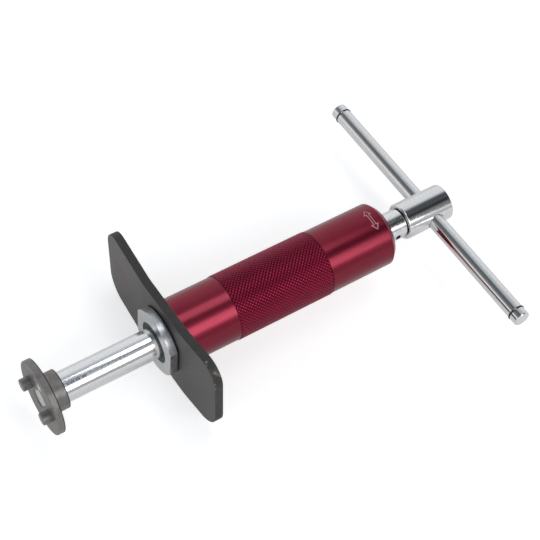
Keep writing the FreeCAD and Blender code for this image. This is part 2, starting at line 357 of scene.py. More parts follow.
BRIGHT_PLATE = Finish(
    "bright_plate",
    colour=(0.87, 0.87, 0.87),
    deep=(0.78, 0.78, 0.79),
    slot="bright_zinc",
    roughness=0.115,
    roughness_spread=0.05,
    grain=Grain.DRAWN,
    mark_mm=0.35,
    mark_depth_mm=0.011,
    patch_mm=0.9,
    speck=(0.42, 0.43, 0.45),
    speck_mm=0.8,
    speck_share=0.03,
    # A row of dark bluish specks along the rod: pits in the plating, partly painted reflection of
    # the dark streak that runs there.
    spots=(
        *(
            Spot((x, -3.5, 6.9), 0.95, (0.15, 0.19, 0.25), 0.85)
            for x in (13.4, 14.9, 16.1, 18.0, 19.2, 21.3, 22.4)
        ),
        *(
            Spot((x, -3.4, 6.95), 0.55, (0.20, 0.22, 0.25), 0.7)
            for x in (31.3, 34.9, 38.5, 40.8, 43.0)
        ),
        Spot((43.7, -4.0, 6.65), 0.5, (0.20, 0.22, 0.25), 0.7),
    ),
)
BRIGHT_HEAD = Finish(
    "bright_head",
    colour=(0.83, 0.83, 0.835),
    deep=(0.73, 0.73, 0.74),
    slot="bright_zinc",
    roughness=0.08,
    roughness_spread=0.04,
    grain=Grain.DRAWN,
    mark_mm=0.45,
    mark_depth_mm=0.009,
    patch_mm=0.8,
    speck=(0.50, 0.51, 0.53),
    speck_mm=0.7,
    speck_share=0.03,
)
BRIGHT_BAR = Finish(
    "bright_bar",
    colour=(0.82, 0.82, 0.82),
    deep=(0.70, 0.70, 0.705),
    slot="bright_zinc",
    roughness=0.09,
    roughness_spread=0.04,
    grain=Grain.ACROSS,
    mark_mm=0.5,
    mark_depth_mm=0.005,
    patch_mm=0.9,
    speck=(0.50, 0.51, 0.53),
    speck_mm=0.8,
    speck_share=0.03,
)
TURNED_END = Finish(
    "turned_end",
    colour=(0.84, 0.83, 0.82),
    deep=(0.74, 0.73, 0.72),
    slot="bright_zinc",
    metallic=0.25,
    roughness=0.5,
    mark_mm=0.3,
)
ZINC_NUT = Finish(
    "zinc_nut",
    colour=(0.76, 0.755, 0.75),
    deep=(0.64, 0.635, 0.635),
    slot="zinc_nut",
    roughness=0.3,
    roughness_spread=0.04,
    grain=Grain.RINGS,
    mark_mm=0.6,
    mark_depth_mm=0.0015,
    patch_mm=2.2,
)
# A darker, bluer copy of the nut's zinc for its rim: painted shade that dims the rim's highlights.
SHADED_ZINC_RIM = replace(
    ZINC_NUT,
    name="shaded_zinc_rim",
    colour=(0.62, 0.63, 0.65),
    deep=(0.44, 0.45, 0.48),
    patch_mm=1.6,
)
# The flats in a darker zinc: partly a milled finish, partly painted shade for the dim floor they
# reflect. The black spot at a flat's upper corner is painted shade of a small notch.
SHADED_MILLED_FLAT = replace(
    ZINC_NUT,
    name="shaded_milled_flat",
    colour=(0.54, 0.53, 0.53),
    deep=(0.46, 0.45, 0.45),
    spots=(Spot((61.9, -15.5, 7.4), 1.5, (0.03, 0.03, 0.03)),),
)
BLACK_PLATE = Finish(
    "black_plate",
    colour=(0.112, 0.103, 0.104),
    deep=(0.090, 0.082, 0.083),
    slot="black_plate",
    metallic=0.5,
    roughness=0.4,
    roughness_spread=0.06,
    mark_mm=0.35,
    mark_depth_mm=0.006,
    patch_mm=1.6,
    speck=(0.17, 0.115, 0.10),
    speck_mm=0.9,
    speck_share=0.02,
    spots=(
        Spot((67.7, 44.2, -0.7), 8.5, (0.118, 0.058, 0.054), 0.9),
        Spot((67.7, 50.3, 0.5), 4.5, (0.115, 0.072, 0.068), 0.8),
        Spot((67.7, 45.9, 8.4), 3.0, (0.13, 0.075, 0.07), 0.6),
        Spot((67.7, 39.3, -5.0), 1.8, (0.13, 0.075, 0.07), 0.7),
        Spot((67.7, 56.4, 11.8), 2.2, (0.13, 0.075, 0.07), 0.6),
    ),
)
# A near-black finish for edges: painted shade on the plate's rim and on the adaptor's rear edges.
# Its lighter spots are real worn chips on the plate's edge.
EDGE_SHADE_AND_CHIPS = Finish(
    "edge_shade_and_chips",
    colour=(0.050, 0.046, 0.043),
    deep=(0.036, 0.033, 0.031),
    slot="black_plate",
    metallic=0.3,
    roughness=0.5,
    roughness_spread=0.08,
    grain=Grain.LENGTHWISE,
    mark_mm=0.5,
    mark_depth_mm=0.02,
    patch_mm=2.0,
    speck=(0.13, 0.11, 0.095),
    speck_mm=0.8,
    speck_share=0.02,
    spots=(
        Spot((68.4, -35.0, 25.8), 0.8, (0.25, 0.24, 0.23)),
        Spot((67.3, -36.4, 25.4), 0.8, (0.25, 0.24, 0.23)),
        Spot((69.8, -40.6, 23.1), 1.1, (0.21, 0.185, 0.16)),
        Spot((70.6, -41.5, 22.3), 0.8, (0.20, 0.17, 0.14)),
        Spot((71.6, -42.2, 21.6), 1.1, (0.19, 0.15, 0.12)),
        Spot((67.7, -43.7, 18.6), 0.9, (0.26, 0.25, 0.24)),
        Spot((67.75, -44.4, 15.6), 0.9, (0.26, 0.25, 0.24)),
    ),
)
GREY_SINTER = Finish(
    "grey_sinter",
    colour=(0.262, 0.247, 0.238),
    deep=(0.200, 0.188, 0.180),
    slot="grey_sinter",
    metallic=0.65,
    roughness=0.41,
    roughness_spread=0.08,
    mark_mm=0.3,
    mark_depth_mm=0.02,
    patch_mm=2.2,
    speck=(0.28, 0.155, 0.10),
    speck_mm=0.9,
    speck_share=0.02,
    spots=(
        Spot((3.3, -15.3, 11.5), 1.15, (0.19, 0.085, 0.035)),
        # Pale pinkish patches at the top of the bore's mouth: painted highlight on the bore's
        # edge, partly bare metal.
        Spot((0.0, -0.5, 11.4), 2.9, (0.98, 0.84, 0.76)),
        Spot((0.0, -1.7, 11.3), 1.7, (0.98, 0.84, 0.76)),
        Spot((0.0, 0.9, 12.3), 1.8, (0.60, 0.46, 0.40), 0.8),
        Spot((0.0, 2.4, 13.6), 1.7, (0.75, 0.60, 0.54), 0.8),
    ),
)
DARK_PIN = Finish(
    "dark_pin",
    colour=(0.285, 0.272, 0.264),
    deep=(0.215, 0.205, 0.199),
    slot="dark_pin",
    metallic=0.6,
    roughness=0.4,
    grain=Grain.RINGS,
    mark_mm=0.3,
    mark_depth_mm=0.006,
    patch_mm=2.0,
)
# A lighter copy of the pin steel: painted light on the pins' front faces and on the wall of the
# adaptor's bore, which would be in shade.
LIT_FACE = Finish(
    "lit_face",
    colour=(0.365, 0.345, 0.330),
    deep=(0.280, 0.262, 0.250),
    slot="dark_pin",
    metallic=0.35,
    roughness=0.5,
    patch_mm=1.2,
)
DARK_POLYMER = Finish(
    "dark_polymer",
    colour=(0.010, 0.024, 0.024),
    deep=(0.007, 0.018, 0.018),
    slot="dark_polymer",
    metallic=0.0,
    roughness=0.45,
    mark_mm=0.4,
)
BLACK_RUBBER = Finish(
    "black_rubber",
    colour=(0.030, 0.030, 0.030),
    deep=(0.038, 0.038, 0.038),
    slot="black_rubber",
    metallic=0.0,
    roughness=0.7,
    mark_mm=0.3,
)
PLAIN_STEEL = Finish(
    "plain_steel",
    colour=(0.55, 0.55, 0.56),
    deep=(0.47, 0.47, 0.48),
    slot="plain_steel",
    roughness=0.3,
    grain=Grain.RINGS,
    mark_mm=0.3,
    mark_depth_mm=0.004,
)
SPRING_STEEL = Finish(
    "spring_steel",
    colour=(0.30, 0.30, 0.31),
    deep=(0.22, 0.22, 0.23),
    slot="spring_steel",
    roughness=0.35,
    mark_mm=0.3,
)
DARK_RING = Finish(
    "dark_ring",
    colour=(0.045, 0.045, 0.045),
    deep=(0.030, 0.030, 0.030),
    slot="spring_steel",
    metallic=0.5,
    roughness=0.3,
    mark_mm=0.3,
)
BRONZE = Finish(
    "bronze",
    colour=(0.62, 0.42, 0.20),
    deep=(0.50, 0.33, 0.15),
    slot="bronze",
    roughness=0.4,
    mark_mm=0.2,
    mark_depth_mm=0.015,
)


class Shape:
    """One piece in the making: a bmesh in millimetres and the work done on it."""

    def __init__(self) -> None:
        """Start with an empty mesh and no second finish."""
        self.mesh = bmesh.new()
        self.extra: list[Finish] = []

    @classmethod
    def turned(cls, profile: Profile, closed: bool = True, steps: int = TURN_STEPS) -> "Shape":
        """Spin a profile about the tool's axis.

        Args:
            profile: Corners as (x, radius).
            closed: Whether the last corner joins the first.
            steps: How many facets go round.

        Returns:
            The turned shape, its normals outward.
        """
        shape = cls()
        corners = [shape.mesh.verts.new((x, 0.0, radius)) for x, radius in profile]
        ends = corners[1:] + corners[:1] if closed else corners[1:]
        lines = [shape.mesh.edges.new(pair) for pair in zip(corners, ends)]
        bmesh.ops.spin(
            shape.mesh,
            geom=corners + lines,
            cent=(0.0, 0.0, 0.0),
            axis=AXIS,
            dvec=(0.0, 0.0, 0.0),
            angle=math.tau,
            steps=steps,
            use_merge=True,
            use_duplicate=False,
        )
        shape.heal()
        return shape

    @classmethod
    def rod(cls, start: Vector, end: Vector, radius: float, steps: int = 64) -> "Shape":
        """Make a plain cylinder between two points.

        Args:
            start: The middle of one end.
            end: The middle of the other end.
            radius: The cylinder's radius.
            steps: How many facets go round.

        Returns:
            The cylinder.
        """
        shape = cls()
        along = end - start
        turn = Vector((0.0, 0.0, 1.0)).rotation_difference(along).to_matrix().to_4x4()
        bmesh.ops.create_cone(
            shape.mesh,
            cap_ends=True,
            segments=steps,
            radius1=radius,
            radius2=radius,
            depth=along.length,
            matrix=Matrix.Translation((start + end) / 2) @ turn,
        )
        return shape

    @classmethod
    def block(cls, low: Vector, high: Vector) -> "Shape":
        """Make a box.

        Args:
            low: Its lowest corner.
            high: Its highest corner.

        Returns:
            The box.
        """
        shape = cls()
        place = Matrix.Translation((low + high) / 2) @ Matrix.Diagonal((*(high - low), 1.0))
        bmesh.ops.create_cube(shape.mesh, size=1.0, matrix=place)
        return shape

    def heal(self) -> "Shape":
        """Merge doubles, drop empty faces and point the normals outward.

        Returns:
            This shape.
        """
        bmesh.ops.remove_doubles(self.mesh, verts=self.mesh.verts, dist=MERGED)
        bmesh.ops.dissolve_degenerate(self.mesh, edges=self.mesh.edges, dist=1e-5)
        bmesh.ops.recalc_face_normals(self.mesh, faces=self.mesh.faces)
        return self

    def sharp_edges(self, degrees: float) -> list[bmesh.types.BMEdge]:
        """List the edges whose faces meet at more than an angle."""
        limit = math.radians(degrees)
        return [e for e in self.mesh.edges if e.is_manifold and e.calc_face_angle(0.0) > limit]

    def soften(
        self,
        width: float,
        segments: int = 2,
        degrees: float = 25.0,
        chosen: Callable[[Vector], bool] = lambda corner: True,
    ) -> "Shape":
        """Round the sharp edges.

        Args:
            width: The width of the rounding.
            segments: How many facets it has.
            degrees: The angle above which an edge counts as sharp.
            chosen: Tells from one end of a sharp edge whether it's rounded.

        Returns:
            This shape.
        """
        bmesh.ops.bevel(
            self.mesh,
            geom=[e for e in self.sharp_edges(degrees) if chosen(e.verts[0].co)],
            offset=width,
            offset_type="OFFSET",
            segments=segments,
            profile=0.5,
            affect="EDGES",
            clamp_overlap=True,
            material=-1,
        )
        return self

    def split(self, point: Vector, normal: Vector, clear: bool = False) -> None:
        """Split the faces along a plane.

        Args:
            point: A point on the plane.
            normal: The plane's normal.
            clear: Whether what lies in front of the plane goes.
        """
        bmesh.ops.bisect_plane(
            self.mesh,
            geom=self.mesh.verts[:] + self.mesh.edges[:] + self.mesh.faces[:],
            dist=MERGED,
            plane_co=point,
            plane_no=normal,
            clear_outer=clear,
        )

    def trim(self, point: Vector, normal: Vector) -> "Shape":
        """Cut away what lies in front of a plane and close the cut.

        Args:
            point: A point on the plane.
            normal: The direction in which material goes.

        Returns:
            This shape.
        """
        self.split(point, normal, clear=True)
        bmesh.ops.holes_fill(self.mesh, edges=[e for e in self.mesh.edges if e.is_boundary])
        return self

    def carve(self, cutter: "Shape") -> "Shape":
        """Take another shape away from this one.

        Args:
            cutter: The shape that goes, used up by this.

        Returns:
            This shape.
        """
        body = self.as_object("carved")
        tool = cutter.as_object("cutter")
        cut = body.modifiers.new("cut", "BOOLEAN")
        cut.operation = "DIFFERENCE"
        cut.solver = "EXACT"
        cut.object = tool
        result = body.evaluated_get(bpy.context.evaluated_depsgraph_get()).to_mesh()
        self.mesh.clear()
        self.mesh.from_mesh(result)
        for used in (body, tool):
            bpy.data.objects.remove(used)
        return self.heal()

    def as_object(self, name: str) -> bpy.types.Object:
        """Put the mesh, as it is, on a new object in the scene.

        Args:
            name: The object's name.

        Returns:
            The object.
        """
        data = bpy.data.meshes.new(name)
        self.mesh.to_mesh(data)
        made = bpy.data.objects.new(name, data)
        bpy.context.scene.collection.objects.link(made)
        return made

    def move(self, matrix: Matrix) -> "Shape":
        """Turn or shift the whole shape."""
        bmesh.ops.transform(self.mesh, matrix=matrix, verts=self.mesh.verts)
        return self

    def smooth(self, degrees: float = 30.0) -> "Shape":
        """Shade the faces smooth, apart from the sharp edges.

        Args:
            degrees: The angle above which an edge stays sharp.

        Returns:
            This shape.
        """
        for face in self.mesh.faces:
            face.smooth = True
        for edge in self.sharp_edges(degrees):
            edge.smooth = False
        return self

    def paint(self, finish: Finish, chosen: Callable[[bmesh.types.BMFace], bool]) -> "Shape":
        """Set some faces aside for a finish of their own.

        Args:
            finish: The finish of those faces.
            chosen: Tells whether a face gets it.

        Returns:
            This shape.
        """
        self.extra.append(finish)
        self.mesh.normal_update()
        for face in filter(chosen, self.mesh.faces):
            face.material_index = len(self.extra)
        return self

    def dress(self, name: str, finish: Finish, body: str, *stands_for: str) -> bpy.types.Object:
        """Turn the shape into a finished piece of the tool.

        Args:
            name: The piece's name.
            finish: Its finish.
            body: The CAD body that it rides on.
            *stands_for: The CAD nodes that it is shown in place of.

        Returns:
            The finished object.
        """
        self.move(Matrix.Scale(MM, 4))
        piece = self.as_object(name)
        for one in (finish, *self.extra):
            piece.data.materials.append(one.material())
        weighted = piece.modifiers.new("weighted_normals", "WEIGHTED_NORMAL")
        weighted.keep_sharp = True
        weighted.weight = 100
        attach(piece, body)
        if stands_for:
            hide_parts(*stands_for)
        log.info("%s: %d faces on body %s", name, len(piece.data.polygons), body)
        return piece


@dataclass(frozen=True)
class Extent:
    """Where a CAD node lies along the tool and how far it reaches from the axis."""

    start: float
    end: float
    radius: float

    @classmethod
    def of(cls, node: str) -> "Extent":
        """Read the extent of a round CAD node, in millimetres."""
        low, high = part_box(node)
        return cls(low.x / MM, high.x / MM, (high.z - low.z) / 2 / MM)


def around(degrees: float, radius: float = 1.0, x: float = 0.0) -> Vector:
    """Give a point by its angle about the axis, measured from +Y towards +Z."""
    angle = math.radians(degrees)
    return Vector((x, radius * math.cos(angle), radius * math.sin(angle)))


def about_axis(degrees: float) -> Matrix:
    """Give a turn about the tool's axis."""
    return Matrix.Rotation(math.radians(degrees), 4, "X")


def coat_nodes(finish: Finish, *nodes: str) -> None:
    """Give CAD nodes that stay in view their finish.

    Args:
        finish: The finish.
        *nodes: The names of the CAD nodes.
    """
    for name in nodes:
        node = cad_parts[name]
        node.data.materials.clear()
        node.data.materials.append(finish.material())
        log.info("%s: kept from the CAD, in %s", name, finish.name)


@dataclass
class Grip:
    """The knurled sleeve with its arrow mark, and what is inside it."""

    wall: float = 4.0
    front_chamfer: float = 1.0
    rear_chamfer: float = 2.8
    rear_wall: float = 13.0
    shaft_gap_radius: float = 8.1
    knurl_start: float = 29.4
    knurl_length: float = 54.7
    knurl_rise: float = 0.34
    knurl_depth: float = 0.17
    knurl_top: float = 0.18
    shaded_knurl_groove: float = 0.14
    knurls_round: int = 54
    knurls_long: int = 28
    knurl_margin: float = 0.1
    groove_shade_slot: int = 1
    top_slot: int = 2
    edge: float = 0.3
    spindle_pull: float = 45.0

    def build(self) -> None:
        """Make the sleeve and its mark, and dress the parts inside."""
        self.extent = Extent.of("grip_sleeve")
        self.radius = self.extent.radius - self.knurl_rise
        self.knurl_from = self.extent.start + self.knurl_start
        self.knurl_to = self.knurl_from + self.knurl_length
        sleeve = self.shell()
        self.join_band(sleeve, self.band())
        sleeve.dress("knurled_sleeve", RED_ANODISED, "barrel", "grip_sleeve")
        ArrowMark(self.radius, self.extent.end).build()
        coat_nodes(BLACK_RUBBER, "stop_buffer")
        coat_nodes(PLAIN_STEEL, "spring_stop", "spring_seat")
        coat_nodes(SPRING_STEEL, "return_spring")
        coat_nodes(BRONZE, "rear_bush")
        self.shorten_spring()

    def shorten_spring(self) -> None:
        """Give the return spring a mesh of its own, apart from the CAD's."""
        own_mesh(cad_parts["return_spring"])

    def shell(self) -> Shape:
        """Turn the plain part of the sleeve, open where the knurl goes.

        Returns:
            The open shell.
        """
        start, end, radius = self.extent.start, self.extent.end, self.radius
        bore = radius - self.wall
        rear = end - self.rear_wall
        shell = Shape.turned(
            [
                (self.knurl_to, radius),
                (end - self.rear_chamfer, radius),
                (end, radius - self.rear_chamfer),
                (end, self.shaft_gap_radius),
                (rear, self.shaft_gap_radius),
                (rear, bore),
                (start, bore),
                (start, radius - self.front_chamfer),
                (start + self.front_chamfer, radius),
                (self.knurl_from, radius),
            ],
            closed=False,
        )
        return shell.soften(self.edge, segments=3).smooth()

    def band(self) -> Shape:
        """Raise the rows of knurls on a band.

        Returns:
            The open knurled band.
        """
        band = Shape()
        bmesh.ops.create_grid(
            band.mesh, x_segments=self.knurls_long, y_segments=self.knurls_round, size=0.5
        )
        bmesh.ops.poke(band.mesh, faces=band.mesh.faces[:])
        base = self.radius + self.knurl_rise - self.knurl_depth
        margin = self.knurl_margin
        for vert in band.mesh.verts:
            x = self.knurl_from + margin + (vert.co.x + 0.5) * (self.knurl_length - 2 * margin)
            vert.co = around(360.0 * (vert.co.y + 0.5), base, x)
        bmesh.ops.remove_doubles(band.mesh, verts=band.mesh.verts, dist=1e-3)
        # The middle of a poked face has four edges, and a corner of the grid has more.
        corners = {v for v in band.mesh.verts if len(v.link_edges) > 4}
        inner = [e for e in band.mesh.edges if not e.is_boundary and corners.issuperset(e.verts)]
        bmesh.ops.dissolve_edges(band.mesh, edges=inner, use_verts=False)
        bmesh.ops.recalc_face_normals(band.mesh, faces=band.mesh.faces)
        half_knurl = math.tau * base / self.knurls_round / math.sqrt(2) / 2
        tops = band.mesh.faces[:]
        grooves = bmesh.ops.inset_individual(
            band.mesh, faces=tops, thickness=self.shaded_knurl_groove, depth=0.0, use_even_offset=True
        )["faces"]
        bmesh.ops.inset_individual(
            band.mesh,
            faces=tops,
            thickness=half_knurl - self.shaded_knurl_groove - self.knurl_top,
            depth=self.knurl_depth,
            use_even_offset=True,
        )
        for face in band.mesh.faces:
            face.material_index = self.top_slot
        # Painted shade on the groove floors.
        for face in grooves:
            face.material_index = self.groove_shade_slot
        return band

    def join_band(self, sleeve: Shape, band: Shape) -> None:
        """Join the knurled band to the open ends of the sleeve.

        Args:
            sleeve: The sleeve, which takes the band in.
            band: The band, used up by this.
        """
        data = bpy.data.meshes.new("band")
        band.mesh.to_mesh(data)
        sleeve.mesh.from_mesh(data)
        sleeve.extra += [KNURL_GROOVE_SHADE, KNURL_TOP]
        bpy.data.meshes.remove(data)
        middle = (self.knurl_from + self.knurl_to) / 2
        rims = [e for e in sleeve.mesh.edges if e.is_boundary]
        for side in (-1, 1):
            pair = [e for e in rims if side * (e.verts[0].co.x - middle) > 0]
            bmesh.ops.bridge_loops(sleeve.mesh, edges=pair)
        bmesh.ops.recalc_face_normals(sleeve.mesh, faces=sleeve.mesh.faces)


@dataclass
class ArrowMark:
    """An outlined double arrow round the sleeve, for a handle that moves both ways."""

    radius: float
    sleeve_end: float
    from_end: float = 8.05
    middle_angle: float = 91.6
    half_length: float = 6.6
    head_from_middle: float = 3.2
    head_half_width: float = 2.2
    shaft_half_width: float = 0.85
    line: float = 0.38
    height: float = 0.015
    strip: float = 0.6

    def build(self) -> None:
        """Draw the outline flat, cut it in strips and lay it on the sleeve."""
        mark = Shape()
        x = self.sleeve_end - self.from_end
        half, head = self.half_length, self.head_from_middle
        wide, narrow = self.head_half_width, self.shaft_half_width
        side = [(0.0, half), (wide, head), (narrow, head), (narrow, -head), (wide, -head)]
        corners = side + [(-across, -along) for across, along in side]
        loop = [mark.mesh.verts.new((x + across, along, 0.0)) for across, along in corners]
        face = mark.mesh.faces.new(loop)
        face.normal_update()
        bmesh.ops.inset_region(
            mark.mesh, faces=[face], thickness=self.line, use_even_offset=True, use_boundary=True
        )
        bmesh.ops.delete(mark.mesh, geom=[face], context="FACES")
        for i in range(-int(half / self.strip), int(half / self.strip) + 1):
            mark.split(SIDEWAYS * i * self.strip, SIDEWAYS)
        raised = bmesh.ops.extrude_face_region(mark.mesh, geom=mark.mesh.faces[:])["geom"]
        for vert in (v for v in raised if isinstance(v, bmesh.types.BMVert)):
            vert.co.z = 2 * self.height
        middle = math.radians(self.middle_angle)
        for vert in mark.mesh.verts:
            angle = math.degrees(middle + vert.co.y / self.radius)
            vert.co = around(angle, self.radius - self.height + vert.co.z, vert.co.x)
        bmesh.ops.recalc_face_normals(mark.mesh, faces=mark.mesh.faces)
        mark.dress("direction_arrow", MARKED, "barrel")


@dataclass
class Gland:
    """The flanged nut in the front of the sleeve, with its bush and washer."""

    flange: float = 4.42
    washer: float = 0.38
    washer_radius: float = 16.7
    washer_inset: float = 1.0
    flat_half: float = 15.5
    flat_least_area: float = 5.0
    neck_radius: float = 13.0
    bore: float = 10.8
    lip_length: float = 5.0
    lip_bore: float = 8.1
    edge: float = 0.32
    bush_bore: float = 7.8
    bush_chamfer: float = 0.5

    def build(self) -> None:
        """Make the nut and the bush and dress the washer."""
        nut = Extent.of("gland_nut")
        lip = nut.end - self.lip_length
        gland = Shape.turned(
            [
                (nut.start, self.bore),
                (nut.start, nut.radius),
                (nut.start + self.flange, nut.radius),
                (nut.start + self.flange, self.neck_radius),
                (nut.end, self.neck_radius),
                (nut.end, self.lip_bore),
                (lip, self.lip_bore),
                (lip, self.bore),
            ]
        )
        bush = Extent.of("front_bush")
        ring = Shape.turned(
            [
                (bush.start, self.bush_bore + self.bush_chamfer),
                (bush.start, bush.radius),
                (bush.end, bush.radius),
                (bush.end, self.bush_bore),
                (bush.start + self.bush_chamfer, self.bush_bore),
            ]
        )
        ring.smooth().dress("guide_bush", DARK_POLYMER, "barrel", "front_bush")
        step = nut.start + self.flange
        washer = Shape.turned(
            [
                (step, self.neck_radius),
                (step, self.washer_radius),
                (step + self.washer, self.washer_radius),
                (step + self.washer, self.neck_radius),
            ]
        )
        for piece, half in ((gland, self.flat_half), (washer, self.flat_half - self.washer_inset)):
            for side in (-1.0, 1.0):
                piece.trim(SIDEWAYS * side * half, SIDEWAYS * side)
        gland.soften(self.edge, segments=3).smooth()
        rim = nut.radius - 2 * NEAR
        # The rim gets the painted shade.
        gland.paint(SHADED_ZINC_RIM, lambda face: face.calc_center_median().yz.length > rim)
        # The flats get the darker zinc with its painted shade.
        gland.paint(SHADED_MILLED_FLAT, self.on_flat)
        gland.dress("flanged_gland", ZINC_NUT, "barrel", "gland_nut")
        # The black washer is partly a rubber washer and partly stands in for the shadow in the gap
        # behind the flange.
        washer.smooth().dress("shadow_gap_washer", BLACK_RUBBER, "barrel", "plate_washer")

    def on_flat(self, face: bmesh.types.BMFace) -> bool:
        """Tell whether a face is one of the two flats, and no narrow facet beside them."""
        return abs(face.normal.y) > FACING and face.calc_area() > self.flat_least_area


@dataclass
class PressPlate:
    """The black plate that bears on the caliper, both wings bent back."""

    thickness: float = 4.5
    half_length: float = 52.0
    half_width: float = 23.4
    corner: float = 11.5
    offset: float = 6.5
    bend_at: float = 18.2
    bend_blend: float = 2.0
    bend: float = 4.0
    turn: float = -4.5
    hole: float = 13.05
    edge: float = 0.3
    rim_facing: float = 0.5

    def build(self) -> None:
        """Round the corners of a blank, bend its wings and bore it."""
        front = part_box("force_plate")[0].x / MM
        low = Vector((front, self.offset - self.half_length, -self.half_width))
        high = Vector((front + self.thickness, self.offset + self.half_length, self.half_width))
        plate = Shape.block(low, high)
        bmesh.ops.bevel(
            plate.mesh,
            geom=[e for e in plate.mesh.edges if abs((e.verts[0].co - e.verts[1].co).x) > NEAR],
            offset=self.corner,
            offset_type="OFFSET",
            segments=14,
            profile=0.5,
            affect="EDGES",
            clamp_overlap=True,
            material=-1,
        )
        plate.soften(self.edge, segments=3, degrees=60.0)
        for side in (-1, 1):
            for step in (-1.0, -0.5, 0.0, 0.5, 1.0):
                at = side * (self.bend_at + step * self.bend_blend)
                plate.split(SIDEWAYS * at, SIDEWAYS)
        for vert in plate.mesh.verts:
            vert.co.x += self.rise(abs(vert.co.y))
        begin, end = AXIS * (front - PAST), AXIS * (front + self.thickness + PAST)
        plate.carve(Shape.rod(begin, end, self.hole, steps=96))
        # The plate's rim gets painted shade.
        plate.smooth().paint(EDGE_SHADE_AND_CHIPS, lambda face: abs(face.normal.x) < self.rim_facing)
        plate.move(about_axis(self.turn))
        plate.dress("pressing_plate", BLACK_PLATE, "plate", "force_plate")

    def rise(self, y: float) -> float:
        """Tell how far the plate is bent back at a distance from the axis.

        Args:
            y: The distance along the plate.

        Returns:
            The rise, which starts and ends in a smooth curve.
        """
        slope = math.tan(math.radians(self.bend))
        begin = self.bend_at - self.bend_blend
        if y <= begin:
            return 0.0
        if y >= self.bend_at + self.bend_blend:
            return slope * (y - self.bend_at)
        return slope * (y - begin) ** 2 / (4 * self.bend_blend)


@dataclass
class Spindle:
    """The bright rod, with what it carries inside the sleeve."""

    nose_end: float = 11.1
    nose_radius: float = 7.25
    flat_half: float = 4.4
    flat_turn: float = -55.0
    round_length: float = 2.9
    edge: float = 0.35
    hole_radius: float = 1.5
    hole_from_head: float = 6.1
    mill_reach: float = 10.0

    def build(self) -> None:
        """Turn the rod, mill its nose, drill it and dress its parts."""
        rod = Extent.of("spindle_rod")
        head = Extent.of("handle_head")
        shaft = Shape.turned(
            [
                (rod.start, 0.0),
                (rod.start, self.nose_radius),
                (self.nose_end, self.nose_radius),
                (self.nose_end, rod.radius),
                (rod.end, rod.radius),
                (rod.end, 0.0),
            ],
            closed=False,
        )
        shaft.soften(self.edge, segments=3).smooth()
        for side in (-1.0, 1.0):
            low = Vector((rod.start - PAST, -self.mill_reach, self.flat_half))
            high = Vector((self.nose_end - self.round_length, self.mill_reach, self.mill_reach))
            turn = about_axis(self.flat_turn + 90.0 - 90.0 * side)
            shaft.carve(Shape.block(low, high).move(turn))
        across = Vector((head.start - self.hole_from_head, rod.radius + PAST, 0.0))
        back = Vector((across.x, -across.y, 0.0))
        shaft.carve(Shape.rod(back, across, self.hole_radius, steps=32))
        tip = rod.start + self.edge
        shaft.smooth().paint(TURNED_END, lambda face: face.calc_center_median().x < tip)
        shaft.dress("bright_spindle", BRIGHT_PLATE, "spindle", "spindle_rod")
        coat_nodes(BLACK_RUBBER, "nose_o_ring")
        coat_nodes(PLAIN_STEEL, "thrust_collar")
        coat_nodes(SPRING_STEEL, "collar_circlip")
        coat_nodes(BRONZE, "thrust_washer")


